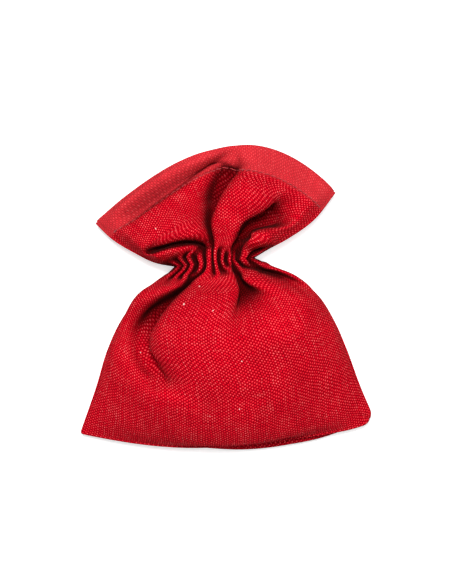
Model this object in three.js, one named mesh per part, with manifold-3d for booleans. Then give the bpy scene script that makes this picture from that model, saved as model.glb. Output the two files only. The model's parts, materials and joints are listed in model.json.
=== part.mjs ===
// A small drawstring pouch of plain-woven red cloth, lying on its back. Its neck is gathered
// tight on a string, its mouth spreads above the neck as a fan, and its body is puffed.
// Millimetres. X runs across the pouch, +Y from the bottom seam to the mouth, +Z away from the table.
import * as THREE from "three";
import { mergeVertices } from "three/addons/utils/BufferGeometryUtils.js";
import Module from "manifold-3d";

const wasm = await Module();
wasm.setup();

// The cloth, as it is cut and sewn.
const clothWidth = 102;
const bodyHeight = 77;
const fanHeight = 39;
const clothThickness = 0.6;
const hemDepth = 8.5;
const seamAllowance = 6;
const gatheredAllowance = 1.6;
const layerGap = 0.3;
const rollRadius = 0.55;
const hemTurn = 0.6;
const hemInset = 1;
const pleatCount = 9;

// The drawstring, a closed ring that is threaded through the pleats: its own thickness, the
// gathered neck's size across and through, how deep the string runs under the neck's surface
// and the slack in the holes that it passes through.
const stringDiameter = 1.2;
const ringAcross = 21;
const ringThick = 9;
const stringDepth = 0.8;
const stringClearance = 0.3;

// The outline seen from above, measured from the level of the left bottom corner. A bulge is how
// far a side of the body swells past a straight line, and the bow is the mouth's rise in its middle.
const cornerTuck = 2.1;
const rightCornerRise = 5.5;
const bottomSag = 7;
const neckShift = -3.4;
const neckRise = 59.2;
const neckTilt = 8;
const leftBulge = 7.5;
const rightBulge = 10.5;
const bodySwellPeak = 0.625;
const mouthSpan = 81.6;
const mouthShift = -3.7;
const mouthRise = 19;
const mouthTilt = 7.2;
const mouthBow = 19;
const mouthSkew = 0.24;
const fanSideSag = 3.4;
const fanSwellPeak = 0.5;

// Heights. The puffs are measured from the side seams, and the others from the table.
const frontPuff = 22;
const backPuff = 16;
const cornerHeight = 4;
const bottomSeamRise = 4;
const waistHeight = 15;
const tipHeight = 6.5;
const mouthMiddleRise = 4.8;
const fanPuff = 5;
const fanBackPuff = 3;
const fanArch = 1.5;

// The main folds of the front and of the back. Each starts at the neck at one place across the
// cloth, as a share of its width, and wanders to another place as it fades over its length.
const frontFolds = [
  { side: "body", neck: 0.33, end: 0.14, width: 0.06, length: 50, dip: 1.35 },
  { side: "body", neck: 0.68, end: 0.66, width: 0.05, length: 25, dip: 1.35 },
  { side: "body", neck: 0.9, end: 0.93, width: 0.04, length: 32, dip: 0.9 },
  { side: "body", neck: 0.46, end: 0.43, width: 0.06, length: 12, dip: 0.4 },
  { side: "fan", neck: 0.25, end: 0.04, width: 0.05, length: 18, dip: 1.3 },
  { side: "fan", neck: 0.38, end: 0.38, width: 0.035, length: 16, dip: 0.8 },
  { side: "fan", neck: 0.42, end: 0.39, width: 0.1, length: 31, dip: 1.3 },
  { side: "fan", neck: 0.62, end: 0.76, width: 0.055, length: 26, dip: 1.4 },
  { side: "fan", neck: 0.9, end: 0.94, width: 0.035, length: 12, dip: 0.9 },
];
const backFolds = [
  { side: "body", neck: 0.24, end: 0.2, width: 0.05, length: 34, dip: 1.1 },
  { side: "body", neck: 0.44, end: 0.42, width: 0.05, length: 22, dip: 1 },
  { side: "body", neck: 0.78, end: 0.82, width: 0.05, length: 34, dip: 1.1 },
  { side: "fan", neck: 0.2, end: 0.16, width: 0.05, length: 30, dip: 1.1 },
  { side: "fan", neck: 0.46, end: 0.4, width: 0.05, length: 26, dip: 1 },
  { side: "fan", neck: 0.8, end: 0.84, width: 0.05, length: 30, dip: 1.1 },
];

// How far the fine pleats reach from the neck, the share of the width beside a seam that stays
// unfolded, the steepest that a fold may turn in radians, the most that folding is scaled by, the
// share of a fold's depth that is cut off its faint tail, and the slope of a mitred corner.
const pleatReach = 6;
const edgeMargin = 0.035;
const tightestTurn = 1.75;
const mostFolding = 2.2;
const foldTail = 0.03;
const mitre = 0.8;

// How finely the cloth and the string are divided, and the grid that cut corners settle on.
const samples = 400;
const halvings = 30;
const grain = 0.002;
const stringSteps = 24;
const stringSides = 8;
const holeSteps = 18;
const holeSides = 6;
const columnsPerPleat = 4;
const bodyRows = [
  0, 0.025, 0.09, 0.18, 0.29, 0.41, 0.53, 0.64, 0.73, 0.805, 0.865, 0.91, 0.945, 0.975,
];
const fanRows = [0, 0.05, 0.12, 0.205, 0.32, 0.48, 0.7, 1];

const cloth = new THREE.MeshStandardMaterial({ color: 0xc01f2a, roughness: 0.95, metalness: 0 });
const string = new THREE.MeshStandardMaterial({ color: 0xa81822, roughness: 0.9, metalness: 0 });

const mix = (from, to, share) => from + (to - from) * share;
const eased = (share) => share * share * (3 - 2 * share);
const directionAt = (degrees) =>
  new THREE.Vector2(1, 0).rotateAround(new THREE.Vector2(), THREE.MathUtils.degToRad(degrees));

// A smooth line through a few [place, value] pairs.
function lineThrough(points) {
  const places = points.map((point) => point[0]);
  const values = points.map((point) => point[1]);
  const line = new THREE.CubicInterpolant(places, values, 1, [0]);
  return (place) => line.evaluate(THREE.MathUtils.clamp(place, places[0], places.at(-1)))[0];
}

// A side of the outline seen from above: a straight run that swells by `bulge` to its left, and
// swells the most at the share `peak` of the way along.
class Side extends THREE.Curve {
  constructor(from, to, bulge, peak) {
    super();
    const along = to.clone().sub(from).normalize();
    this.from = from;
    this.to = to;
    this.out = new THREE.Vector2(-along.y, along.x).multiplyScalar(bulge);
    this.peak = peak;
  }

  getPoint(share, target = new THREE.Vector2()) {
    const rise = (share / this.peak) ** (2 * this.peak);
    const fall = (Math.max(0, 1 - share) / (1 - this.peak)) ** (2 - 2 * this.peak);
    return target.lerpVectors(this.from, this.to, share).addScaledVector(this.out, rise * fall);
  }
}

// The outline's corners, seen from above.
const halfSpan = clothWidth / 2 - cornerTuck;
const leftCorner = new THREE.Vector2(-halfSpan, 0);
const rightCorner = new THREE.Vector2(halfSpan, rightCornerRise);
const neckCentre = new THREE.Vector2(neckShift, neckRise);
const neckAlong = directionAt(neckTilt);
const neckUp = new THREE.Vector2(-neckAlong.y, neckAlong.x);
const leftNeck = neckCentre.clone().addScaledVector(neckAlong, -ringAcross / 2);
const rightNeck = neckCentre.clone().addScaledVector(neckAlong, ringAcross / 2);
const mouthCentre = new THREE.Vector2(mouthShift, neckRise + mouthRise);
const mouthAlong = directionAt(mouthTilt);
const leftTip = mouthCentre.clone().addScaledVector(mouthAlong, -mouthSpan / 2);
const rightTip = mouthCentre.clone().addScaledVector(mouthAlong, mouthSpan / 2);
const bottomMiddle = new THREE.Vector2(0, rightCornerRise / 2 - bottomSag);
const mouthUp = new THREE.Vector2(-mouthAlong.y, mouthAlong.x);
const mouthMiddle = mouthCentre.clone().addScaledVector(mouthUp, mouthBow);

// The sides of the body and of the fan, and the middle's profile: how far along, and how high.
const leftBody = new Side(leftCorner, leftNeck, leftBulge, bodySwellPeak);
const rightBody = new Side(rightCorner, rightNeck, -rightBulge, bodySwellPeak);
const leftFan = new Side(leftNeck, leftTip, fanSideSag, fanSwellPeak);
const rightFan = new Side(rightNeck, rightTip, -fanSideSag, fanSwellPeak);
const bodyLength = neckCentre.distanceTo(bottomMiddle);
const fanLength = mouthMiddle.distanceTo(neckCentre);
const profileOf = (points) =>
  new THREE.CatmullRomCurve3(points.map(([along, up]) => new THREE.Vector3(along, up, 0)));
const bodyProfile = profileOf([
  [0, 0],
  [0.015 * bodyLength, 0.3 * frontPuff],
  [0.14 * bodyLength, 0.68 * frontPuff],
  [0.36 * bodyLength, 0.93 * frontPuff],
  [0.6 * bodyLength, frontPuff],
  [0.8 * bodyLength, 0.72 * frontPuff],
  [0.91 * bodyLength, mix(ringThick / 2, frontPuff, 0.2)],
  [0.96 * bodyLength, mix(ringThick / 2, frontPuff, 0.03)],
  [bodyLength, ringThick / 2],
]);
const fanProfile = profileOf([
  [0, ringThick / 2],
  [0.07 * fanLength, ringThick / 2],
  [0.2 * fanLength, mix(ringThick / 2, fanPuff + fanArch, 0.6)],
  [0.5 * fanLength, fanPuff + fanArch],
  [fanLength, fanPuff],
]);

// The height of the seams at the two sides and how much the middle is raised above them.
const total = bodyHeight + fanHeight;
const waist = bodyHeight / total;
const sideHeight = lineThrough([
  [0, cornerHeight],
  [0.3 * waist, mix(cornerHeight, waistHeight, 0.62)],
  [0.7 * waist, waistHeight],
  [waist, mix(waistHeight, tipHeight, 0.15)],
  [mix(waist, 1, 0.5), mix(waistHeight, tipHeight, 0.45)],
  [1, tipHeight],
]);
const middleRise = lineThrough([
  [0, bottomSeamRise],
  [0.4 * waist, 0],
  [waist, 0],
  [mix(waist, 1, 0.5), 0.6 * mouthMiddleRise],
  [1, mouthMiddleRise],
]);

// How full the cross-section is, where 0.5 is an ellipse and 1 a low arch, and how deep the back
// is beside the front.
const fullness = lineThrough([
  [0, 0.8],
  [0.5 * waist, 0.62],
  [waist, 0.5],
  [mix(waist, 1, 0.35), 0.75],
  [1, 1],
]);
const backShare = lineThrough([
  [0, backPuff / frontPuff],
  [0.8 * waist, backPuff / frontPuff],
  [waist, 1],
  [1, fanBackPuff / fanPuff],
]);

// How near a panel's middle surface comes to the surface that both panels meet at, and how far
// its edges lie from it, rolled over their allowances.
const nearest = (layerGap + clothThickness) / 2;
const layerLift = nearest + 2 * rollRadius;

// The row of the cloth at a height above the bottom seam: its ends, its middle and its depth.
function rowAt(height) {
  const inBody = height <= bodyHeight;
  const share = THREE.MathUtils.clamp(
    inBody ? height / bodyHeight : (height - bodyHeight) / fanHeight,
    0,
    1,
  );
  const left = (inBody ? leftBody : leftFan).getPointAt(share);
  const right = (inBody ? rightBody : rightFan).getPointAt(share);
  const profile = (inBody ? bodyProfile : fanProfile).getPointAt(share);
  const middle = inBody
    ? bottomMiddle.clone().lerp(neckCentre, profile.x / bodyLength)
    : neckCentre.clone().lerp(mouthMiddle, profile.x / fanLength);
  const bow = middle.clone().sub(left.clone().add(right).multiplyScalar(0.5));
  const skew = inBody ? 0 : mouthSkew * share;
  return { left, right, bow, skew, depth: profile.y, place: height / total };
}

// A point of that row, at a share of the way across, before it is folded.
function basePoint(row, across, face) {
  const off = 2 * across - 1;
  const arch = 4 * across * (1 - across) * (1 + row.skew * off);
  const flat = row.left.clone().lerp(row.right, across).addScaledVector(row.bow, arch);
  const seam = sideHeight(row.place) + middleRise(row.place) * 4 * across * (1 - across);
  const crown = Math.max(0, 1 - off * off) ** fullness(row.place);
  const up = face > 0 ? row.depth * crown : row.depth * crown * backShare(row.place);
  return new THREE.Vector3(flat.x, flat.y, seam + face * (layerLift + up));
}

// How the cloth of a row turns out of its base line, as an angle at each share of its width.
function turnAt(phase, height, folds) {
  const away = Math.abs(height - bodyHeight);
  const side = height < bodyHeight ? "body" : "fan";
  const fine = Math.exp(-((away / pleatReach) ** 4));
  let turn = fine * Math.cos(2 * Math.PI * pleatCount * phase);
  for (const fold of folds) {
    if (fold.side !== side) continue;
    const wander = mix(fold.neck, fold.end, Math.min(1, away / fold.length));
    const off = (phase - wander) / fold.width;
    const fade = Math.max(0, Math.exp(-((away / fold.length) ** 4)) - foldTail) * (1 - fine);
    turn += fold.dip * fade * off * Math.exp((1 - off * off) / 2);
  }
  const edge = Math.min(phase, 1 - phase) / edgeMargin;
  return turn * eased(Math.min(1, edge));
}

// How strongly a row's turns are scaled so that the cloth's full width just fills a length.
const bent = (turn, gain) => tightestTurn * Math.tanh((gain * turn) / tightestTurn);
function gainFor(turns, length) {
  if (length >= clothWidth) return 0;
  let low = 0;
  let high = mostFolding;
  for (let i = 0; i < halvings; i += 1) {
    const gain = (low + high) / 2;
    const cosines = turns.reduce((sum, turn) => sum + Math.cos(bent(turn, gain)), 0);
    if ((cosines / samples) * clothWidth > length) low = gain;
    else high = gain;
  }
  return low;
}

// One row of folded cloth: its point at every column, for the front (face 1) or the back (-1).
function foldedRow(height, phases, folds, face) {
  const row = rowAt(height);
  const base = [];
  const reach = [0];
  for (let i = 0; i <= samples; i += 1) {
    base.push(basePoint(row, (1 - Math.cos((Math.PI * i) / samples)) / 2, face));
    if (i > 0) reach.push(reach[i - 1] + base[i].distanceTo(base[i - 1]));
  }
  const turns = [];
  for (let i = 0; i < samples; i += 1) turns.push(turnAt((i + 0.5) / samples, height, folds));
  const gain = gainFor(turns, reach[samples]);
  const step = clothWidth / samples;
  const along = [0];
  const out = [0];
  for (let i = 0; i < samples; i += 1) {
    along.push(along[i] + Math.cos(bent(turns[i], gain)) * step);
    out.push(out[i] + Math.sin(bent(turns[i], gain)) * step);
  }
  const drift = out[samples] / samples;
  const level = out.reduce((sum, value, i) => sum + value - drift * i, 0) / (samples + 1);
  return phases.map((phase) => {
    const at = Math.round(phase * samples);
    const edge = eased(Math.min(1, Math.min(phase, 1 - phase) / (2 * edgeMargin)));
    const across = along[at] / along[samples];
    const goal = across * reach[samples];
    let k = 1;
    while (k < samples && reach[k] < goal) k += 1;
    const point = base[k - 1].clone().lerp(base[k], (goal - reach[k - 1]) / (reach[k] - reach[k - 1]));
    const tangent = base[Math.min(samples, k + 1)].clone().sub(base[Math.max(0, k - 2)]);
    const normal = tangent.clone().multiplyScalar(-tangent.z);
    normal.z = tangent.x ** 2 + tangent.y ** 2;
    normal.normalize().multiplyScalar(face);
    point.addScaledVector(normal, out[at] - drift * at - level * edge);
    const seam = basePoint(row, across, 0).z;
    if (face > 0) point.z = Math.max(point.z, seam + nearest);
    else point.z = Math.max(clothThickness / 2, Math.min(point.z, seam - nearest));
    return point;
  });
}

// Turns a sheet's middle surface, a list of points and of four-sided faces, into a closed solid.
function thickened(points, quads) {
  const normals = points.map(() => new THREE.Vector3());
  const edges = new Map();
  for (const quad of quads) {
    const [a, b, c, d] = quad.map((index) => points[index]);
    const normal = c.clone().sub(a).cross(d.clone().sub(b));
    for (const index of quad) normals[index].add(normal.clone().normalize());
    quad.forEach((from, k) => {
      const to = quad[(k + 1) % 4];
      if (edges.has(to + "," + from)) edges.delete(to + "," + from);
      else edges.set(from + "," + to, [from, to]);
    });
  }
  const count = points.length;
  const vertices = [];
  for (const shift of [clothThickness / 2, -clothThickness / 2])
    points.forEach((point, i) => {
      const moved = point.clone().addScaledVector(normals[i].clone().normalize(), shift);
      vertices.push(moved.x, moved.y, moved.z);
    });
  const triangles = [];
  for (const [a, b, c, d] of quads) {
    triangles.push(a, b, c, a, c, d);
    triangles.push(count + a, count + c, count + b, count + a, count + d, count + c);
  }
  for (const [from, to] of edges.values())
    triangles.push(to, from, count + from, to, count + from, count + to);
  const geometry = new THREE.BufferGeometry();
  geometry.setAttribute("position", new THREE.Float32BufferAttribute(vertices, 3));
  geometry.setIndex(triangles);
  return geometry;
}

// One panel: the folded cloth, its turned-in seam allowances and its hem.
function panelGeometry(folds, face) {
  const columns = pleatCount * columnsPerPleat;
  const phases = Array.from({ length: columns + 1 }, (_, i) => i / columns);
  const heights = [
    ...bodyRows.map((share) => share * bodyHeight),
    ...fanRows.map((share) => bodyHeight + share * fanHeight),
  ];
  const rows = heights.map((height) => foldedRow(height, phases, folds, face));
  const points = rows.flat();
  const quads = [];
  const quad = (a, b, c, d) => quads.push(face > 0 ? [a, b, c, d] : [d, c, b, a]);
  const at = (row, column) => row * (columns + 1) + column;
  const lastRow = rows.length - 1;
  for (let row = 0; row < lastRow; row += 1)
    for (let column = 0; column < columns; column += 1)
      quad(at(row, column), at(row, column + 1), at(row + 1, column + 1), at(row + 1, column));

  // The allowances, turned in round both sides and the bottom, with a mitre at each corner.
  const rim = [];
  for (let row = lastRow; row >= 0; row -= 1) rim.push([row, 0]);
  for (let column = 1; column <= columns; column += 1) rim.push([0, column]);
  for (let row = 1; row <= lastRow; row += 1) rim.push([row, columns]);
  const up = neckCentre.clone().sub(bottomMiddle).normalize();
  const turnedIn = ([row, column], inward, down) => {
    const { left, right } = rowAt(heights[row]);
    const across = right.clone().sub(left).normalize();
    const point = points[at(row, column)].clone();
    const way = new THREE.Vector2();
    if (column === 0) way.add(across);
    if (column === columns) way.sub(across);
    if (row === 0) way.add(up);
    point.add(new THREE.Vector3(way.x * inward, way.y * inward, -face * down));
    return points.push(point) - 1;
  };
  const allowanceAt = ([row, column]) => {
    const gathered = Math.exp(-(((heights[row] - bodyHeight) / pleatReach) ** 2));
    const fromSide = (Math.min(column, columns - column) * clothWidth) / columns;
    const fromCorner = row > 0 ? heights[row] : fromSide;
    return Math.min(mix(seamAllowance, gatheredAllowance, gathered), mitre * fromCorner);
  };
  const edge = rim.map(([row, column]) => at(row, column));
  const roll = rim.map((place) => turnedIn(place, -rollRadius, rollRadius));
  const tucked = rim.map((place) => turnedIn(place, allowanceAt(place), 2 * rollRadius));
  for (let i = 0; i + 1 < rim.length; i += 1) {
    quad(edge[i], roll[i], roll[i + 1], edge[i + 1]);
    quad(roll[i], tucked[i], tucked[i + 1], roll[i + 1]);
  }

  // The hem: the cloth rolls over at the mouth and runs back down inside, clear of the allowances.
  const inset = (seamAllowance + hemInset) / clothWidth;
  const hemLine = (below, down, share, over) =>
    foldedRow(
      total - below,
      phases.map((phase) => mix(share, 1 - share, phase)),
      folds,
      face,
    ).map((point) => {
      point.add(new THREE.Vector3(mouthUp.x * over, mouthUp.y * over, -face * down));
      return points.push(point) - 1;
    });
  const hem = [
    phases.map((_, column) => at(lastRow, column)),
    hemLine(0, rollRadius, 0, rollRadius),
    hemLine(hemTurn, 2 * rollRadius, inset, 0),
    hemLine(hemDepth, 2 * rollRadius, inset, 0),
  ];
  for (let k = 0; k + 1 < hem.length; k += 1)
    for (let i = 0; i < columns; i += 1)
      quad(hem[k][i], hem[k][i + 1], hem[k + 1][i + 1], hem[k + 1][i]);
  return thickened(points, quads);
}

// The string's ring, an ellipse through the middle of the pleats, as a round tube.
function ringGeometry(diameter, sides, steps) {
  const ring = new THREE.TorusGeometry(1, diameter / 2, sides, steps);
  const place = ring.getAttribute("position");
  const halfThick = layerLift + ringThick / 2 - stringDepth;
  const halfAcross = ringAcross / 2 / Math.sqrt(1 - (layerLift / halfThick) ** 2);
  const height = sideHeight(waist) + middleRise(waist);
  for (let i = 0; i < place.count; i += 1) {
    const angle = Math.atan2(place.getY(i), place.getX(i));
    const outward = Math.hypot(place.getX(i), place.getY(i)) - 1;
    const normal = new THREE.Vector2(Math.cos(angle) / halfAcross, Math.sin(angle) / halfThick);
    normal.normalize().multiplyScalar(outward);
    const across = halfAcross * Math.cos(angle) + normal.x;
    const up = halfThick * Math.sin(angle) + normal.y;
    const flat = neckCentre.clone().addScaledVector(neckAlong, across);
    flat.addScaledVector(neckUp, -place.getZ(i));
    place.setXYZ(i, flat.x, flat.y, height + up);
  }
  return ring;
}

// A closed mesh as a solid, and a solid as a mesh.
function solidOf(geometry) {
  const bare = geometry.clone();
  bare.deleteAttribute("normal");
  bare.deleteAttribute("uv");
  const merged = mergeVertices(bare, 1e-4);
  return new wasm.Manifold(
    new wasm.Mesh({
      numProp: 3,
      vertProperties: new Float32Array(merged.attributes.position.array),
      triVerts: new Uint32Array(merged.index.array),
    }),
  );
}

// Cutting leaves slivers, so corners settle on a fine grid and the faces that close up go, as do
// two that come to lie back to back.
function geometryOf(solid) {
  const mesh = solid.getMesh();
  const settled = mesh.vertProperties.map((value) => Math.round(value / grain) * grain);
  const geometry = new THREE.BufferGeometry();
  geometry.setAttribute("position", new THREE.BufferAttribute(settled, 3));
  geometry.setIndex(new THREE.BufferAttribute(mesh.triVerts, 1));
  const merged = mergeVertices(geometry, grain / 2);
  const faces = new Map();
  const index = merged.index.array;
  for (let i = 0; i < index.length; i += 3) {
    const corners = [index[i], index[i + 1], index[i + 2]];
    const key = [...corners].sort((a, b) => a - b).join(" ");
    if (new Set(corners).size < 3 || faces.delete(key)) continue;
    faces.set(key, corners);
  }
  merged.setIndex([...faces.values()].flat());
  merged.computeVertexNormals();
  return merged;
}

// The panels, with holes through their pleats for the string. The crumbs that a hole leaves
// beside a seam fall away.
const hole = solidOf(ringGeometry(stringDiameter + 2 * stringClearance, holeSides, holeSteps));
function threaded(geometry) {
  const pieces = solidOf(geometry).subtract(hole).decompose();
  return geometryOf(pieces.reduce((most, piece) => (piece.volume() > most.volume() ? piece : most)));
}
const frontPanel = new THREE.Mesh(threaded(panelGeometry(frontFolds, 1)), cloth);
frontPanel.name = "front_panel";
const backPanel = new THREE.Mesh(threaded(panelGeometry(backFolds, -1)), cloth);
backPanel.name = "back_panel";
const drawstring = new THREE.Mesh(ringGeometry(stringDiameter, stringSides, stringSteps), string);
drawstring.name = "drawstring";

// The pouch stands with the middle of its bounding box's underside at the origin.
const pouch = new THREE.Group();
pouch.add(frontPanel, backPanel, drawstring);
const box = new THREE.Box3().setFromObject(pouch);
pouch.position.set(-(box.min.x + box.max.x) / 2, -(box.min.y + box.max.y) / 2, -box.min.z);
export default pouch;
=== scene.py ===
# %% [markdown]
# # A small gathered cloth pouch
#
# The pouch is two panels of plain-woven red cloth, sewn together round three sides and turned
# right side out. A string runs through the cloth a third of the way down from the mouth. Pulled
# tight, it gathers the cloth into a narrow neck: above the neck the mouth spreads as a fan, and
# below it the body stays puffed. The pouch lies on its back and is seen from above.
#
# The notebook builds both panels from one idea. Cloth hardly stretches, so where the pouch is
# narrower than its cloth, a thread that runs across has to go up and down instead, and that is
# all that a fold is. Here every fold is a line of its own, which can be put where the real one
# lies. The idea is followed only in part. The folds have a limit, and beside the string the
# threads come out up to 28 percent too short in front and up to 40 percent behind. Nothing holds
# the length of the threads that run up the pouch, which are stretched in the deepest folds, the
# worst of them six times and more. A cloth simulation could keep both lengths.

import json
import math

import bpy
import numpy as np
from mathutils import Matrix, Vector

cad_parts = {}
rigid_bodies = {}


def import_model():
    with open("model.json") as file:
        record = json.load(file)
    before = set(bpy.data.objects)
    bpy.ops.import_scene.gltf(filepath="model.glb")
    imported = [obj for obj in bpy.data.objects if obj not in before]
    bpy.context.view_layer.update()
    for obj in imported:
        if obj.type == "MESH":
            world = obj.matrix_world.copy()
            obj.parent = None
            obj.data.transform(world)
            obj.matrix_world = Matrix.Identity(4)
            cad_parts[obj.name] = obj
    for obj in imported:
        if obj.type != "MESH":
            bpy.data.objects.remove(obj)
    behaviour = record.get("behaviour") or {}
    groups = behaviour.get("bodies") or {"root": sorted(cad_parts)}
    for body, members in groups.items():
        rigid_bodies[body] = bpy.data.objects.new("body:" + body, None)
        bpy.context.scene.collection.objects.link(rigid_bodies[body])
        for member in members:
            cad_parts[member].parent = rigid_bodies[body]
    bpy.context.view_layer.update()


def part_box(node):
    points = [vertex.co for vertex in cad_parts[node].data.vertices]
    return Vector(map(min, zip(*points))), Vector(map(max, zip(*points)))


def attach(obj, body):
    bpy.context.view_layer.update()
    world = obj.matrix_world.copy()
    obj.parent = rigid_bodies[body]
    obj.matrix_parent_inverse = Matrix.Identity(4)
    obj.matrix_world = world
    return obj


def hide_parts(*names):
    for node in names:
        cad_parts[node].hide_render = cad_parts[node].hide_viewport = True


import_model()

# %% [markdown]
# ## The cloth as it is cut
#
# Everything below is worked out in millimetres, because that is how a pouch is cut, and is turned
# into metres only when a mesh is made. X runs across the pouch, Y from the bottom seam to the
# mouth, and Z up from the table.

# %% Sizes of the cloth
MM = 0.001
cloth_width = 102.0
body_length = 77.0
fan_length = 39.0
cloth_thickness = 0.55
hem_depth = 8.5
seam_allowance = 6.0
roll_radius = 0.6
panel_gap = 0.3
whole_length = body_length + fan_length
print(f"each panel shows {cloth_width:.0f} x {whole_length:.0f} mm of cloth")

# %% [markdown]
# ## Smooth lines through a few points
#
# An outline, a height or a depth is easiest to say as a few points with a smooth line through
# them. Each point gets the slope between its two neighbours, and a cubic joins them. The line
# goes exactly through every point, so changing one point moves only the line beside it.


# %% A smooth line, and the same line measured by its own length
def smooth_line(points, steady=False):
    points = np.array(points, float)
    place, value = points[:, 0], points[:, 1:]
    step = np.diff(place)[:, None]
    rise = np.diff(value, axis=0) / step
    slope = np.empty_like(value)
    slope[0], slope[-1] = rise[0], rise[-1]
    slope[1:-1] = (rise[:-1] * step[1:] + rise[1:] * step[:-1]) / (step[1:] + step[:-1])
    if steady:
        both = rise[:-1] * rise[1:]
        slope[1:-1] = np.where(both > 0, 2 * both / np.where(both > 0, rise[:-1] + rise[1:], 1), 0)

    def at(where):
        where = np.clip(np.asarray(where, float), place[0], place[-1])
        k = np.clip(np.searchsorted(place, where) - 1, 0, len(place) - 2)
        width = step[k]
        t = ((where - place[k])[..., None]) / width
        t2, t3 = t * t, t * t * t
        line = (2 * t3 - 3 * t2 + 1) * value[k] + (t3 - 2 * t2 + t) * width * slope[k]
        line += (3 * t2 - 2 * t3) * value[k + 1] + (t3 - t2) * width * slope[k + 1]
        return line[..., 0] if value.shape[1] == 1 else line

    return at


def curve_by_length(points, pieces=400):
    points = np.array(points, float)
    knots = np.concatenate([[0], np.cumsum(np.linalg.norm(np.diff(points, axis=0), axis=1))])
    dense = smooth_line(np.column_stack([knots, points]))(np.linspace(0, knots[-1], pieces))
    length = np.concatenate([[0], np.cumsum(np.linalg.norm(np.diff(dense, axis=0), axis=1))])

    def at(share):
        reach = np.clip(share, 0, 1) * length[-1]
        return np.stack([np.interp(reach, length, dense[:, i]) for i in range(2)], -1)

    return at


def ease(share):
    share = np.clip(share, 0, 1)
    return share * share * (3 - 2 * share)


def mix(low, high, share):
    return low + (high - low) * share


print("halfway between 0 and 10:", float(smooth_line([(0, 0), (1, 10)])(0.5)))

# %% [markdown]
# ## The outline seen from above
#
# The body's sides swell out from the bottom corners and come in to the neck, the left one as a
# round shoulder and the right one almost level. Above the neck each side of the fan runs out to
# a tip, and the mouth bows between the two tips. The bottom edge sags between its corners.

# %% The sides, from the bottom corners to the tips of the fan
left_body = curve_by_length([
    (-49.3, -46.0), (-43.6, -30.0), (-39.8, -17.7), (-35.0, -7.5), (-29.0, 0.4), (-22.6, 5.2),
    (-16.6, 10.9),
])
right_body = curve_by_length([
    (50.2, -42.0), (44.9, -30.0), (40.3, -17.7), (36.0, -8.0), (30.8, 0.3), (24.0, 6.2),
    (15.0, 10.6), (8.4, 13.6),
])
left_fan = curve_by_length([(-16.6, 10.9), (-24.0, 12.4), (-31.0, 15.8), (-38.5, 20.4), (-44.2, 25.8)])
right_fan = curve_by_length([(8.4, 13.6), (13.0, 16.4), (20.0, 20.2), (29.0, 26.6), (36.7, 36.2)])
bottom_middle = np.array([0.0, -50.9])
neck_middle = np.array([-4.1, 12.2])
mouth_middle = np.array([-6.2, 49.2])
neck_across = right_body(1) - left_body(1)
print("neck width %.1f mm, mouth width %.1f mm" % (
    np.linalg.norm(neck_across), np.linalg.norm(right_fan(1) - left_fan(1))))

# %% [markdown]
# ## How high it stands
#
# Two seams run up the sides. They rise from the table at the corners to the neck, which the full
# body holds clear of the table, and droop again to the tips of the fan. The front swells above
# that level and the back hangs below it until it meets the table. One photograph from above
# shows none of these heights, so they are a guess.

# %% Heights along the pouch
corner_height = 4.0
waist_height = 14.0
tip_height = 6.5
neck_thickness = 9.0
front_puff = 22.0
back_puff = 15.5
mouth_puff = 6.5
waist = body_length / whole_length
side_height = smooth_line([
    (0, corner_height),
    (0.3 * waist, 10.5),
    (0.7 * waist, 14.6),
    (waist, waist_height),
    (mix(waist, 1, 0.5), 10.6),
    (1, tip_height),
])
middle_lift = smooth_line([
    (0, 4.0), (0.4 * waist, 0.3), (waist, 0.0), (mix(waist, 1, 0.5), 2.9), (1, 4.8),
])
fullness = smooth_line([
    (0, 0.75), (0.5 * waist, 0.48), (0.85 * waist, 0.5), (waist, 0.5),
    (mix(waist, 1, 0.35), 0.75), (1, 1.0),
])
back_depth = smooth_line([
    (0, back_puff / front_puff), (0.8 * waist, back_puff / front_puff), (waist, 1.0),
    (mix(waist, 1, 0.5), 0.5), (1, 0.5),
])
body_run = np.linalg.norm(neck_middle - bottom_middle)
fan_run = np.linalg.norm(mouth_middle - neck_middle)
neck_half = neck_thickness / 2
body_profile = curve_by_length([
    (0, 0),
    (0.015 * body_run, 0.3 * front_puff),
    (0.14 * body_run, 0.68 * front_puff),
    (0.36 * body_run, 0.93 * front_puff),
    (0.6 * body_run, front_puff),
    (0.8 * body_run, 0.74 * front_puff),
    (0.91 * body_run, mix(neck_half, front_puff, 0.24)),
    (0.965 * body_run, mix(neck_half, front_puff, 0.04)),
    (body_run, neck_half),
])
fan_profile = curve_by_length([
    (0, neck_half),
    (0.07 * fan_run, neck_half),
    (0.2 * fan_run, neck_half + 3.0),
    (0.5 * fan_run, mouth_puff + 4.0),
    (fan_run, mouth_puff),
])
print("front stands about %.0f mm from the table" % (side_height(0.4) + front_puff))

# %% [markdown]
# ## The gathers
#
# Each valley between two gathers is one line that crosses the neck, from the body into the fan.
# At a distance from the neck (below it as a minus number) the line says where it lies across
# the cloth, from 0 at the left seam to 1 at the right, how wide it is and how strongly it sinks.
# A valley that leans is steeper on one side, and a sharp one turns suddenly at its floor.
#
# Most valleys are short. A few open into the big folds that give the pouch its look: the long
# hollow down the body's left, the pocket under the neck's right, the dark hollow in the fan's
# middle and the valley on each side of it. Those were placed by tracing the photograph, and
# "seen" says where they have to appear. The short ones in front were placed one by one, and all
# of the back's are made up, since the photograph doesn't show it.


# %% Valleys of the front and of the back
def valley(path, width, depth, lean=0.0, sharp=0.0, seen=None):
    return {
        "path": smooth_line(path),
        "width": smooth_line(width),
        "depth": smooth_line(depth),
        "lean": lean,
        "sharp": sharp,
        "seen": smooth_line(seen) if seen else None,
    }


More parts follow.
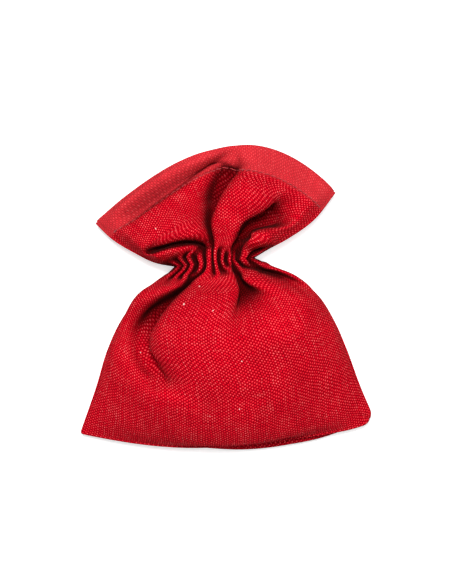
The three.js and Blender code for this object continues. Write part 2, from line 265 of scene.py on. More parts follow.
def short_valley(at, below, above, strength=1.1, drift=0.0, width=0.028):
    return valley(
        [(-below, at + drift), (0, at), (above, at - drift)],
        [(-below, width * 1.3), (0, width), (above, width * 1.3)],
        [
            (-below, 0),
            (-0.7 * below, 0.45 * strength),
            (-0.35 * below, 0.9 * strength),
            (0, strength),
            (0.35 * above, 0.9 * strength),
            (0.7 * above, 0.45 * strength),
            (above, 0),
        ],
    )


front_valleys = [
    short_valley(0.05, 10, 8, 0.9),
    short_valley(0.13, 11, 8),
    short_valley(0.22, 10, 8),
    short_valley(0.315, 9, 8, 0.9),
    valley(
        [
            (-60, 0.3), (-46, 0.272), (-39, 0.22), (-33, 0.208), (-27, 0.224), (-20, 0.25),
            (-12, 0.3), (-6, 0.37), (0, 0.41), (4, 0.41), (7, 0.385), (10, 0.3), (13, 0.17),
            (17, 0.06),
        ],
        [
            (-60, 0.08), (-30, 0.078), (-18, 0.06), (-10, 0.045), (0, 0.03), (5, 0.042), (12, 0.06),
            (20, 0.05),
        ],
        [
            (-52, 0), (-46, 0.4), (-39, 0.95), (-32, 1.3), (-22, 1.45), (-14, 1.45), (-5, 1.1),
            (0, 1), (3, 1.1), (8, 1.6), (13, 1.2), (18, 0),
        ],
        lean=0.3,
        sharp=0.35,
        seen=[
            (-46, 0.27), (-42, 0.228), (-38, 0.192), (-33, 0.182), (-27, 0.205), (-17, 0.255),
            (-11, 0.285), (-5, 0.32), (-2, 0.37), (0, 0.4), (4, 0.43), (7, 0.43), (10, 0.343),
            (12, 0.253), (14, 0.13), (17, 0.06),
        ],
    ),
    valley(
        [
            (-7, 0.5), (0, 0.5), (5, 0.49), (9, 0.465), (14, 0.455), (19, 0.462), (23, 0.485),
            (28, 0.53), (39, 0.585),
        ],
        [(-7, 0.04), (0, 0.03), (6, 0.032), (12, 0.045), (18, 0.075), (24, 0.11), (39, 0.1)],
        [
            (-7, 0), (-3, 0.8), (0, 1.1), (5, 1.7), (12, 2.0), (22, 1.8), (29, 1.3), (34, 0.45),
            (39, 0.15),
        ],
        lean=0.6,
        sharp=0.8,
        seen=[
            (-7, 0.49), (0, 0.502), (5, 0.525), (9, 0.515), (14, 0.498), (19, 0.518), (24, 0.552),
            (28, 0.58), (31, 0.6), (39, 0.62),
        ],
    ),
    short_valley(0.58, 7, 6, drift=0.01),
    short_valley(0.65, 6, 6),
    valley(
        [
            (-36, 0.66), (-27, 0.65), (-20, 0.65), (-12, 0.66), (-6, 0.69), (0, 0.715), (4, 0.715),
            (8, 0.715), (11, 0.74), (15, 0.785), (19, 0.825), (25, 0.875), (30, 0.9),
        ],
        [
            (-34, 0.09), (-20, 0.075), (-12, 0.055), (-6, 0.042), (0, 0.03), (6, 0.04), (10, 0.054),
            (16, 0.07), (30, 0.08),
        ],
        [
            (-36, 0), (-26, 0.45), (-18, 1.0), (-12, 1.8), (-5, 1.7), (0, 1.1), (6, 2.2), (14, 2.3),
            (22, 1.0), (30, 0),
        ],
        lean=-0.35,
        seen=[
            (-30, 0.6), (-15, 0.615), (-12, 0.62), (-8, 0.635), (-5, 0.655), (-2, 0.675), (0, 0.69),
            (4, 0.665), (7, 0.66), (9, 0.675), (11.5, 0.708), (15, 0.75), (19, 0.797), (22, 0.828),
            (30, 0.88),
        ],
    ),
    valley(
        [(-9, 0.83), (-4, 0.8), (0, 0.79), (3, 0.785), (6, 0.79), (9, 0.81), (12, 0.82)],
        [(-7, 0.038), (0, 0.029), (8, 0.034), (12, 0.036)],
        [(-10, 0), (-4, 1.1), (0, 1.3), (5, 1.4), (8, 0.8), (12, 0)],
        seen=[(-9, 0.84), (-4, 0.8), (0, 0.785), (3, 0.765), (6, 0.765), (9, 0.785), (12, 0.81)],
    ),
    valley(
        [
            (-40, 0.98), (-27, 0.955), (-20, 0.905), (-12, 0.875), (-6, 0.87), (0, 0.88), (4, 0.9),
            (8, 0.955), (13, 0.98),
        ],
        [(-40, 0.05), (-12, 0.042), (0, 0.031), (8, 0.035), (13, 0.035)],
        [(-38, 0), (-25, 0.4), (-12, 0.9), (-4, 1.2), (0, 1.3), (4, 1.3), (8, 0.9), (12, 0)],
        seen=[
            (-30, 0.97), (-23.5, 0.93), (-19, 0.895), (-12, 0.885), (-6, 0.88), (-3, 0.88),
            (0, 0.885), (2.5, 0.875), (5, 0.9), (7, 0.94), (12, 0.98),
        ],
    ),
    short_valley(0.955, 9, 7, 0.9),
]
back_valleys = [
    short_valley(0.045, 8, 7, 0.9),
    short_valley(0.12, 7, 6),
    valley(
        [(-44, 0.17), (-20, 0.2), (0, 0.21), (12, 0.18), (32, 0.13)],
        [(-44, 0.07), (-14, 0.05), (0, 0.032), (10, 0.05), (32, 0.07)],
        [(-46, 0), (-24, 0.9), (0, 1), (12, 1.2), (24, 0.8), (34, 0)],
    ),
    short_valley(0.3, 7, 6),
    short_valley(0.38, 10, 5),
    valley(
        [(-26, 0.44), (0, 0.46), (12, 0.43), (32, 0.39)],
        [(-26, 0.06), (0, 0.032), (12, 0.055), (32, 0.08)],
        [(-28, 0), (-10, 1), (0, 1), (12, 1.3), (24, 1), (36, 0)],
    ),
    short_valley(0.545, 6, 6),
    short_valley(0.62, 8, 5),
    short_valley(0.7, 6, 7),
    valley(
        [(-46, 0.84), (-20, 0.8), (0, 0.785), (12, 0.81), (32, 0.85)],
        [(-46, 0.07), (-14, 0.05), (0, 0.032), (10, 0.05), (32, 0.07)],
        [(-48, 0), (-24, 0.9), (0, 1), (12, 1.2), (24, 0.8), (34, 0)],
    ),
    short_valley(0.87, 7, 6),
    short_valley(0.95, 8, 7, 0.9),
]
print(len(front_valleys), "valleys in front and", len(back_valleys), "behind")

# %% [markdown]
# ## Folding one thread
#
# A thread that runs across the panel starts on a plain base curve, an arch between the two
# seams. Then it turns: along its length the valleys say how steeply it leaves the arch, and one
# strength for the whole row is searched for, at which the cosines of the turns add up to the
# arch's length. A thread folded that strongly would have the cloth's full width and still fit
# between the seams, as real gathers do. The sines give how far it stands off the arch.
#
# The length is an aim and not a promise. The strength has a limit, so that a row with few
# valleys isn't folded far too deep, and most rows reach that limit. Beside the string the slow
# rise and fall is taken out and the pleats are made taller, which gives a tight row of them and
# changes the length again. Once the panels are made, the length that is left is printed.

# %% How strongly a row may fold
thread_steps = 900
edge_margin = 0.03
tightest_turn = 1.72
strongest = smooth_line([
    (-77, 1.0), (-45, 1.35), (-20, 1.7), (-8, 2.2), (0, 2.8), (7, 2.2), (14, 1.55), (24, 1.25), (39, 1.0),
])
phase_steps = (np.arange(thread_steps) + 0.5) / thread_steps
print("a thread turns by %.0f degrees at most" % math.degrees(tightest_turn))

# %% The turns that the valleys ask for
sharp_peak = 1.25
sharp_rise = 4.0
sharp_tail = 1.1


def turns_at(away, valleys):
    turn = np.zeros(thread_steps)
    for line in valleys:
        depth = float(line["depth"](away))
        if depth <= 0:
            continue
        off = phase_steps - float(line["path"](away))
        width = float(line["width"](away))
        side = np.where(off > 0, 1 - line["lean"], 1 + line["lean"])
        off = off / (width * side)
        round_turn = off * np.exp((1 - off * off) / 2)
        sharp_turn = sharp_peak * np.tanh(sharp_rise * off) * np.exp(-np.abs(off) / sharp_tail)
        turn += depth / side * mix(round_turn, sharp_turn, line["sharp"])
    return turn * ease(np.minimum(phase_steps, 1 - phase_steps) / edge_margin)


print("turns asked for at the neck: up to %.1f" % turns_at(0.0, front_valleys).max())

# %% [markdown]
# ## The arch under a row
#
# The base curve runs from the left side to the right, bowed towards the bottom or the mouth and
# arched up by the body's puff. Two small things are added near the bottom seam. The seam is
# tucked up a little right of its middle, and the back swells out below it there, so that its
# rolled edge shows past the front's. Both were fitted to the photograph.

# %% The arch of one row
arch_steps = 401
body_skew = 0.12
fan_skew = 0.42
seam_tuck = 1.3
tuck_reach = 8.0
back_roll = 2.7
roll_rise, roll_hold, roll_fade = 2.5, 4.0, 14.0
tuck_at = smooth_line([(0, 0), (0.35, 0.12), (0.55, 0.75), (0.72, 1), (0.84, 0.55), (0.92, 0.1), (1, 0)])
roll_at = smooth_line([(0, 0), (0.35, 0.12), (0.55, 0.75), (0.72, 1), (0.86, 0.9), (0.95, 0.5), (1, 0)])


def base_row(height, face):
    in_body = height <= body_length
    share = height / body_length if in_body else (height - body_length) / fan_length
    left = (left_body if in_body else left_fan)(share)
    right = (right_body if in_body else right_fan)(share)
    profile = (body_profile if in_body else fan_profile)(share)
    if in_body:
        middle = mix(bottom_middle, neck_middle, profile[0] / body_run)
        skew = body_skew * (1 - share)
    else:
        middle = mix(neck_middle, mouth_middle, profile[0] / fan_run)
        skew = fan_skew * share
    across = (1 - np.cos(np.linspace(0, np.pi, arch_steps))) / 2
    off = 2 * across - 1
    bow = (1 - off * off) * (1 + skew * off)
    flat = left + (right - left) * across[:, None] + (middle - (left + right) / 2) * bow[:, None]
    flat[:, 1] += seam_tuck * (1 - ease(height / tuck_reach)) * tuck_at(across)
    if face < 0:
        swell = ease(height / roll_rise) * (1 - ease((height - roll_hold) / roll_fade))
        flat[:, 1] -= back_roll * swell * roll_at(across)
    place = height / whole_length
    seam = side_height(place) + middle_lift(place) * (1 - off * off)
    puff = profile[1] * (1 - off * off) ** float(fullness(place))
    if face < 0:
        puff = puff * back_depth(place)
    lift = panel_gap / 2 + cloth_thickness / 2 + 2 * roll_radius
    return np.column_stack([flat, seam + face * (lift + puff)]), seam


def length_along(points):
    return np.concatenate([[0], np.cumsum(np.linalg.norm(np.diff(points, axis=0), axis=1))])


print("arch over the body: %.0f mm for %.0f mm of cloth" % (
    length_along(base_row(0.4 * body_length, 1)[0])[-1], cloth_width))

# %% [markdown]
# ## Putting the valleys where they are seen
#
# Turning decides how much cloth each valley takes in, and so also where the valley ends up. That
# is rarely just where it lies on the real pouch. Five of the front's valleys therefore say where
# they are seen along the arch. Each is a pin that the cloth slides to, and the cloth between two
# pins is shared out smoothly. A valley that is fading out holds its pin less and less.

# %% Sliding the cloth along the arch
firm_depth = 0.6
cloth_steps = np.linspace(0, 1, thread_steps + 1)


def as_seen(share, away, valleys):
    slides = [(0.0, 0.0, 1.0), (1.0, 0.0, 1.0)]
    for line in valleys:
        depth = float(line["depth"](away))
        if line["seen"] is not None and depth > 0:
            here = float(np.interp(float(line["path"](away)), cloth_steps, share))
            slides.append((here, float(line["seen"](away)) - here, float(ease(depth / firm_depth))))
    slides.sort()
    firm = [(here, slide) for here, slide, hold in slides if hold == 1]
    others = np.interp([here for here, _, _ in slides], *zip(*firm))
    pins = [(here, here + mix(other, slide, hold)) for (here, slide, hold), other in zip(slides, others)]
    return smooth_line(pins, steady=True)(share)


def row_share(away, valleys, bent):
    along = np.concatenate([[0], np.cumsum(np.cos(bent))])
    return as_seen(along / along[-1], away, valleys)


print("pinned valleys in front:", sum(line["seen"] is not None for line in front_valleys))

# %% The strength of a row
search_steps = 30
neck_arch = 28.0


def row_turns(away, valleys, length):
    turns = turns_at(away, valleys)
    low, high = 0.0, float(strongest(away)) if length < cloth_width else 0.0
    for _ in range(search_steps):
        strength = (low + high) / 2
        if np.cos(tightest_turn * np.tanh(strength * turns / tightest_turn)).mean() * cloth_width > length:
            low = strength
        else:
            high = strength
    return tightest_turn * np.tanh(low * turns / tightest_turn)


print("steepest turn at the neck: %.2f" % row_turns(0.0, front_valleys, neck_arch).max())

# %% One folded row
neck_hold = 5.5
pleat_reach = 6.0
pleat_height = 1.4
upright_reach = 5.0
sideways = 0.15
tangent_reach = 0.4
seam_knee = 0.5
table_knee = 0.2
even_reach = 45
even_weights = np.exp(-((np.arange(-2 * even_reach, 2 * even_reach + 1) / even_reach) ** 2))
even_weights /= even_weights.sum()


def soften(height, knee):
    return (height + np.sqrt(height * height + knee * knee)) / 2


def near_string(away, reach):
    return math.exp(-((away / reach) ** 2))


def folded_row(height, columns, valleys, face):
    base, seam = base_row(height, face)
    reach = length_along(base)
    length = reach[-1]
    away = height - body_length
    bent = row_turns(away, valleys, length)
    at_neck = row_share(0.0, valleys, row_turns(0.0, valleys, neck_arch))
    share = mix(row_share(away, valleys, bent), at_neck, near_string(away, neck_hold))

    out = np.concatenate([[0], np.cumsum(np.sin(bent))]) * cloth_width / thread_steps
    out = out - out[-1] * cloth_steps
    out = out - out.mean() * ease(np.minimum(cloth_steps, 1 - cloth_steps) / (2 * edge_margin))
    padded = np.pad(out, 2 * even_reach, mode="reflect", reflect_type="odd")
    drift = np.convolve(padded, even_weights, "valid")
    out = mix(out, (out - drift) * pleat_height, near_string(away, pleat_reach))

    goal = np.interp(columns, cloth_steps, share) * length
    height_off = np.interp(columns, cloth_steps, out)
    point, ahead, behind = [
        np.stack([np.interp(goal + step, reach, base[:, i]) for i in range(3)], -1)
        for step in (0, tangent_reach, -tangent_reach)
    ]
    tangent = ahead - behind
    normal = -tangent * tangent[:, 2:3]
    normal[:, 2] = (tangent[:, :2] ** 2).sum(1)
    normal[:, :2] *= mix(sideways, 1, near_string(away, upright_reach))
    normal *= face / np.linalg.norm(normal, axis=1, keepdims=True)
    point = point + normal * height_off[:, None]

    level = np.interp(goal, reach, seam)
    nearest = panel_gap / 2 + cloth_thickness / 2
    if face > 0:
        point[:, 2] = level + nearest + soften(point[:, 2] - level - nearest, seam_knee)
    else:
        point[:, 2] = level - nearest - soften(level - nearest - point[:, 2], seam_knee)
        point[:, 2] = cloth_thickness / 2 + soften(point[:, 2] - cloth_thickness / 2, table_knee)
    return point


neck_row = folded_row(body_length, np.linspace(0, 1, 241), front_valleys, 1)
print("thread at the neck: %.1f mm of cloth" % length_along(neck_row)[-1])

# %% [markdown]
# ## From threads to a panel
#
# A panel is a grid: many folded threads, one above the other, closest together at the neck where
# the pleats are. Its rim is a real sewn edge. Both sides and the bottom roll over and turn in as
# seam allowances, and the mouth rolls over into a hem that runs back down inside. Cloth has a
# thickness, so the grid is copied to both sides of itself and closed round its edges.

# %% Where the rows and columns lie
column_count = 216
neck_step, body_step, fan_step = 0.4, 0.85, 0.7
fine_reach = 12.0
first_rows = [0, 0.35]
columns = np.linspace(0, 1, column_count + 1)


def rows_from_neck(end, coarse_step):
    rows, here = [body_length], body_length
    direction = 1 if end > body_length else -1
    while (end - here) * direction > 0:
        near = ease(abs(here - body_length) / fine_reach)
        here += direction * mix(neck_step, coarse_step, near)
        rows.append(here)
    rows = np.array(rows)
    return body_length + (rows - body_length) * (end - body_length) / (rows[-1] - body_length)


body_rows = np.concatenate([first_rows, rows_from_neck(0, body_step)[::-1][1:]])
row_heights = np.concatenate([body_rows, rows_from_neck(whole_length, fan_step)[1:]])
print(len(row_heights), "rows of", len(columns), "points")

# %% [markdown]
# ## Hem, stitches and dents
#
# The hem is cloth folded double, so it stands a little proud of the single cloth below it, and
# its stitches pull it in again, most of all at each needle hole. That is a relief of half a
# millimetre along the grid's own normals.
#
# Some shapes of the real pouch are too small or too bent for a valley that crosses the neck: the
# groove and the ridge in the hem's left half, the low end of the body's left valley, the top of
# the fan's hollow and the bend of its right valley. Each is a dent: a line over the cloth with a
# reach to its left and to its right, and a depth. A depth below zero is a ridge. A dent
# stretches the cloth a little, as a thumb would.

# %% The hem's step and its row of stitches
stitch_line = whole_length - hem_depth + 0.9
stitch_pitch = 2.6
hem_start = whole_length - hem_depth - 0.3
hem_slope = 0.7
hem_rise = 0.55
pinch_width = 0.75
pinch_depth = 0.45
pucker_depth = 0.3


def hem_relief(height, across):
    above = ease((height - hem_start) / hem_slope)
    pinch = np.exp(-(((height - stitch_line) / pinch_width) ** 2))
    pucker = 0.5 + 0.5 * np.cos(2 * np.pi * across * cloth_width / stitch_pitch)
    return hem_rise * above - pinch * (pinch_depth + pucker_depth * pucker)


print("stitches lie %.1f mm from the mouth's edge" % (whole_length - stitch_line))


# %% Dents and ridges pressed in
def dent(points, left_width, right_width, depth):
    return {
        "points": np.array(points, float) * [cloth_width, 1],
        "widths": (left_width, right_width),
        "depth": depth,
    }


def dent_depth(across, height, dents):
    spot = np.stack(np.broadcast_arrays(across * cloth_width, height), -1)
    sunk = np.zeros(spot.shape[:-1])
    for one in dents:
        run = length_along(one["points"])
        nearest = np.full(sunk.shape, np.inf)
        reach, side = np.zeros(sunk.shape), np.zeros(sunk.shape)
        for k, (start, end) in enumerate(zip(one["points"][:-1], one["points"][1:])):
            line = end - start
            t = np.clip(((spot - start) @ line) / (line @ line), 0, 1)
            off = spot - start - t[..., None] * line
            away = np.linalg.norm(off, axis=-1)
            closer = away < nearest
            beside = (line[0] * off[..., 1] - line[1] * off[..., 0]) / np.linalg.norm(line)
            nearest = np.where(closer, away, nearest)
            reach = np.where(closer, (run[k] + t * (run[k + 1] - run[k])) / run[-1], reach)
            side = np.where(closer, beside, side)
        left_share = (1 + np.tanh(side)) / 2
        width = mix(one["widths"][1], one["widths"][0], left_share)
        sunk += one["depth"] * np.exp(-((nearest / width) ** 2)) * ease(4 * reach) * ease(4 * (1 - reach))
    return sunk


hem_groove = dent(
    [(0.0, 109.4), (0.15, 110.2), (0.3, 110.4), (0.435, 110.8), (0.5, 112), (0.56, 114), (0.61, 117)],
    1.7, 2.6, 3.4,
)
hem_ridge = dent(
    [(0.0, 113), (0.15, 113.4), (0.3, 113.6), (0.42, 113.8), (0.5, 115.4), (0.55, 117.5)],
    2.6, 1.9, -3.0,
)
low_end_of_left_valley = dent(
    [(0.26, 60), (0.225, 51), (0.208, 44), (0.22, 38), (0.265, 31), (0.31, 25)], 3.4, 6.0, 3.1
)
top_of_hollow = dent([(0.5, 95), (0.51, 100.7), (0.528, 104.9), (0.555, 110)], 8.5, 1.8, 2.6)
right_fan_bend = dent(
    [(0.634, 84), (0.64, 87), (0.66, 89.5), (0.72, 93), (0.8, 97), (0.87, 101)], 2.4, 2.6, 2.7
)
front_dents = [hem_groove, hem_ridge, low_end_of_left_valley, top_of_hollow, right_fan_bend]
print(len(front_dents), "dents and ridges in front")

# %% [markdown]
# ## The rounded corner
#
# The pouch's lower right corner is round where the other one is pointed, as if it weren't turned
# out fully. A square corner becomes a round one by a simple move: measured from a centre inside
# the corner, a square's outline is brought in to a circle, and all that lies within moves along.

# %% Bringing in the lower right corner
corner_radius = 4.2
corner_point = right_body(0)
side_way = np.array([-0.404, 0.915])
bottom_way = np.array([-0.985, -0.17])


def rounded_corner(points):
    centre = corner_point + corner_radius * (side_way + bottom_way)
    shares = (points[..., :2] - centre) @ np.linalg.inv(np.stack([-side_way, -bottom_way]))
    reach = np.maximum(np.hypot(shares[..., 0], shares[..., 1]), 1e-9)
    inside = (shares > 0).all(-1)
    scale = np.where(inside, np.maximum(shares[..., 0], shares[..., 1]) / reach, 1)
    moved = points.copy()
    moved[..., :2] = centre + (points[..., :2] - centre) * scale[..., None]
    return moved


print("the corner comes in by %.1f mm" % np.linalg.norm(corner_point - rounded_corner(corner_point)))

# %% The grid of folded threads, with its relief
seam_fade_reach = 2


def unit(vectors):
    return vectors / np.maximum(np.linalg.norm(vectors, axis=-1, keepdims=True), 1e-9)


def relief_grid(valleys, dents, face):
    grid = np.stack([folded_row(height, columns, valleys, face) for height in row_heights])
    normal = unit(np.cross(np.gradient(grid, axis=1), np.gradient(grid, axis=0)) * face)
    relief = np.stack([hem_relief(height, columns) for height in row_heights])
    relief = relief - dent_depth(columns[None], row_heights[:, None], dents)
    seam_fade = ease(np.minimum(columns, 1 - columns) * cloth_width / seam_fade_reach)
    return grid + normal * (relief * seam_fade)[..., None], normal


# %% Sides and bottom rolled over and turned in
roll_angles = np.linspace(0, np.pi, 7)[1:]
gathered_allowance = 1.6
turn_in_parts = (0.35, 1.0)


def seam_strip(grid, rim, down):
    rim_row, rim_column = np.divmod(rim, grid.shape[1])
    left, right, bottom = rim_column == 0, rim_column == column_count, rim_row == 0
    edge_line = grid[:, -1, :2] - grid[:, 0, :2]
    edge_line /= np.linalg.norm(edge_line, axis=1, keepdims=True)
    to_right = edge_line[rim_row]
    body_up = (neck_middle - bottom_middle) / body_run
    outward = np.zeros((len(rim), 3))
    outward[:, :2] += np.where(right[:, None], to_right, 0) - np.where(left[:, None], to_right, 0)
    outward[:, :2] -= np.where(bottom[:, None], body_up, 0)
    outward /= np.linalg.norm(outward, axis=1, keepdims=True)
    uv_out = np.stack([np.where(right, 1.0, 0) - np.where(left, 1.0, 0), -np.where(bottom, 1.0, 0)], -1)

    height = row_heights[rim_row]
    gathered = np.exp(-(((height - body_length) / pleat_reach) ** 2))
    from_side = np.minimum(rim_column, column_count - rim_column) * cloth_width / column_count
    room = 0.8 * np.where(rim_row > 0, height, from_side)
    reach = np.minimum(mix(seam_allowance, gathered_allowance, gathered), room)
    strip = []
    for angle in roll_angles:
        shift = roll_radius * (np.sin(angle) * outward + (1 - np.cos(angle)) * down)
        strip.append((shift, uv_out * roll_radius * angle))
    for part in turn_in_parts:
        shift = 2 * roll_radius * down - outward * (reach * part)[:, None]
        strip.append((shift, uv_out * (roll_radius * np.pi + reach * part)[:, None]))
    return strip


# %% The mouth rolled over into its hem
hem_inset = (seam_allowance + 1.2) / cloth_width
hem_rows = (0.6, 2.0, 3.5, 5.0, 6.5, 7.5, hem_depth)


def hem_strip(grid, down):
    mouth_line = right_fan(1) - left_fan(1)
    mouth_up = np.array([-mouth_line[1], mouth_line[0], 0]) / np.linalg.norm(mouth_line)
    strip = []
    for angle in roll_angles:
        shift = roll_radius * (np.sin(angle) * mouth_up + (1 - np.cos(angle)) * down)
        strip.append((shift, np.array([0, roll_radius * angle])))
    inside = mix(hem_inset, 1 - hem_inset, columns)
    for back in hem_rows:
        row = np.interp(whole_length - back, row_heights, np.arange(len(grid)))
        low, part = int(row), row - int(row)
        above = mix(grid[low], grid[min(low + 1, len(grid) - 1)], part)
        under = np.stack([np.interp(inside, columns, above[:, i]) for i in range(3)], -1)
        shift = under + 2 * roll_radius * down - grid[-1]
        strip.append((shift, np.array([0, roll_radius * np.pi + back])))
    return strip


# %% One whole panel
def panel(valleys, dents, face):
    grid, normal = relief_grid(valleys, dents, face)
    rows, count = grid.shape[:2]
    index = np.arange(rows * count).reshape(rows, count)
    flat = np.stack(np.broadcast_arrays(columns[None] * cloth_width, row_heights[:, None]), -1)
    points, place = [grid.reshape(-1, 3)], [flat.reshape(-1, 2)]
    quads = [np.stack([index[:-1, :-1], index[:-1, 1:], index[1:, 1:], index[1:, :-1]], -1).reshape(-1, 4)]
    rim = np.concatenate([index[::-1, 0], index[0, 1:], index[1:, -1]])
    down = np.array([0, 0, -face * 1.0])
    total = rows * count
    for first, strip in ((rim, seam_strip(grid, rim, down)), (index[-1], hem_strip(grid, down))):
        before = first
        for shift, uv in strip:
            points.append(points[0][first] + shift)
            place.append(place[0][first] + uv)
            after = total + np.arange(len(first))
            total += len(first)
            ring = [before[:-1], before[1:], after[1:], after[:-1]]
            quads.append(np.stack(ring[:1] + ring[:0:-1] if first is rim else ring, -1))
            before = after
    quads = np.concatenate(quads)
    if face < 0:
        quads = quads[:, ::-1]
    return rounded_corner(np.concatenate(points)), np.concatenate(place), quads, grid, normal


# %% [markdown]
# ## A mesh with the cloth's own coordinates
#
# The weave has to follow the cloth through every fold, so each corner of the mesh keeps where it
# lies on the cloth in millimetres, as a UV map. A second map spreads the two sides and the rim
# out flat without overlaps, for baking the finish.

# %% Which edges are open, and where each face goes in the flat map
flat_margin = 0.02
side_room = 0.46
rim_room = 0.96
rim_low, rim_high = 0.6, 0.61
rim_fill = 0.8


def rim_quads(quads, count):
    start = quads.reshape(-1)
    end = np.roll(quads, -1, axis=1).reshape(-1)
    code = start.astype(np.int64) * (2 * count) + end
    back_code = end.astype(np.int64) * (2 * count) + start
    open_edge = ~np.isin(code, back_code)
    start, end = start[open_edge], end[open_edge]
    return np.stack([end, start, start + count, end + count], -1)


def flat_map(place, where, side_faces, rim_faces):
    low = place.min(0) - 0.5
    size = (place.max(0) - low + 0.5).max()
    flat = (where - low) / size * side_room + flat_margin
    face_index = np.arange(len(where)) // 4
    on_rim = face_index >= 2 * side_faces
    flat[(face_index >= side_faces) & ~on_rim, 0] += 0.5
    strip = np.arange(rim_faces) / rim_faces
    strip_end = strip + rim_fill / rim_faces
    flat[on_rim] = np.stack([
        np.stack([strip, strip, strip_end, strip_end], 1) * rim_room + flat_margin,
        np.tile([rim_low, rim_high, rim_high, rim_low], (rim_faces, 1)),
    ], -1).reshape(-1, 2)
    return flat


# %% Thickness and a mesh
def new_piece(name, vertices, faces):
    mesh = bpy.data.meshes.new(name)
    mesh.from_pydata((np.asarray(vertices) * MM).tolist(), [], faces)
    mesh.polygons.foreach_set("use_smooth", np.ones(len(faces), bool))
    mesh.update()
    piece = bpy.data.objects.new(name, mesh)
    bpy.context.scene.collection.objects.link(piece)
    return piece


def cloth_piece(name, points, place, quads):
    count = len(points)
    corner = points[quads]
    face_normal = unit(np.cross(corner[:, 2] - corner[:, 0], corner[:, 3] - corner[:, 1]))
    normal = np.zeros((count, 3))
    for k in range(4):
        np.add.at(normal, quads[:, k], face_normal)
    normal = unit(normal)
    half = cloth_thickness / 2
    vertices = np.concatenate([points + normal * half, points - normal * half])
    rim = rim_quads(quads, count)
    faces = np.concatenate([quads, quads[:, ::-1] + count, rim])
    piece = new_piece(name, vertices, faces.tolist())
    where = np.concatenate([place, place])[faces.reshape(-1)]
    flat = flat_map(place, where, len(quads), len(rim))
    for map_name, uv in (("ClothMillimetres", where), ("OFBake", flat)):
        layer = piece.data.uv_layers.new(name=map_name)
        layer.data.foreach_set("uv", uv.astype(np.float32).reshape(-1))
    print(name, "%d triangles" % (2 * len(faces)))
    return piece


# %% Both panels
front_points, front_place, front_quads, front_grid, front_normal = panel(front_valleys, front_dents, 1)
front_cloth = cloth_piece("front_cloth", front_points, front_place, front_quads)
back_points, back_place, back_quads, back_grid, back_normal = panel(back_valleys, [], -1)
back_cloth = cloth_piece("back_cloth", back_points, back_place, back_quads)
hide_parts("front_panel")
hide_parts("back_panel")
for name, grid in (("front", front_grid), ("back", back_grid)):
    kept = np.linalg.norm(np.diff(grid, axis=1), axis=2).sum(1) / cloth_width * 100
    print(name, "threads keep %.0f, %.0f and %.0f percent of their length (least, middle, most)" % (
        kept.min(), np.median(kept), kept.max()))

# %% [markdown]
# ## The hem's stitches
#
# One row of machine stitching holds the hem down. Each stitch is a short thread that dips into
# the cloth at both ends, so it is built as a thin tube that follows the cloth's own surface.

# %% A thread along a line of points
tube_aside = (0.13, 0.29, 0.95)
end_taper = 0.15


def tube(name, lines, thickness, sides=6):
    vertices, faces = [], []
    for line in lines:
        count = len(line)
        tangent = np.gradient(line, axis=0)
        tangent /= np.linalg.norm(tangent, axis=1, keepdims=True)
        first = np.cross(tangent, tube_aside)
        first /= np.linalg.norm(first, axis=1, keepdims=True)
        second = np.cross(tangent, first)
        taper = np.sqrt(np.clip(1 - np.linspace(-1, 1, count) ** 8, end_taper, 1))
        angles = np.arange(sides) * 2 * np.pi / sides
        ring = line[:, None] + (thickness / 2) * taper[:, None, None] * (
            np.cos(angles)[None, :, None] * first[:, None] + np.sin(angles)[None, :, None] * second[:, None]
        )
        start = len(vertices)
        vertices += ring.reshape(-1, 3).tolist()
        for i in range(count - 1):
            for j in range(sides):
                a, b = start + i * sides + j, start + i * sides + (j + 1) % sides
                faces.append((a, a + sides, b + sides, b))
        faces.append(tuple(start + j for j in range(sides)))
        faces.append(tuple(start + (count - 1) * sides + j for j in range(sides))[::-1])
    print(name, len(lines), "runs,", len(faces), "faces")
    return new_piece(name, vertices, faces)


# %% Stitches on the front and on the back
stitch_thread = 0.32
stitch_points = 9
first_stitch = 2.0
gap_before, gap_after = 0.15, 0.35
stitch_bow, stitch_clear = 0.22, 0.08


def stitches(name, grid, normal):
    k = int(np.argmin(np.abs(row_heights - stitch_line)))
    bow = np.sin(np.linspace(0, np.pi, stitch_points)) * stitch_bow + stitch_clear
    lines = []
    for start in np.arange(first_stitch, cloth_width - first_stitch, stitch_pitch):
        run = np.linspace(start + gap_before, start + stitch_pitch - gap_after, stitch_points) / cloth_width
        point = np.stack([np.interp(run, columns, grid[k][:, i]) for i in range(3)], -1)
        out = np.stack([np.interp(run, columns, normal[k][:, i]) for i in range(3)], -1)
        lines.append(point + out * (cloth_thickness / 2 + bow)[:, None])
    return tube(name, lines, stitch_thread)


front_stitches = stitches("front_stitches", front_grid, front_normal)
back_stitches = stitches("back_stitches", back_grid, back_normal)
for piece in (front_stitches, back_stitches):
    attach(piece, "root")

# %% [markdown]
# ## The string
#
# The string is a closed ring inside the pleats, two plies twisted together. It runs a little
# deeper than the middle of the pleats, so that the gathers close over it as they do in the
# photograph.

# %% The ring inside the pleats
string_sink = 2.6
string_half = 0.6
ring_steps = 241
low_corner, high_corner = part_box("drawstring")
ring_low, ring_high = np.array(low_corner) / MM, np.array(high_corner) / MM
ring_middle = (ring_low + ring_high) / 2
ring_across = (ring_high[0] - ring_low[0]) / 2 - string_half
ring_tall = (ring_high[2] - ring_low[2]) / 2 - string_half - string_sink
across_direction = neck_across / np.linalg.norm(neck_across)
neck_direction = np.array([-across_direction[1], across_direction[0], 0])
round_ring = np.linspace(0, 2 * np.pi, ring_steps)


def ellipse(wide, tall):
    return np.stack([
        np.cos(round_ring) * wide * across_direction[0],
        np.cos(round_ring) * wide * across_direction[1],
        np.sin(round_ring) * tall,
    ], -1)


middle_line = ring_middle + ellipse(ring_across, ring_tall)
print("string: %.1f mm round" % length_along(middle_line)[-1])

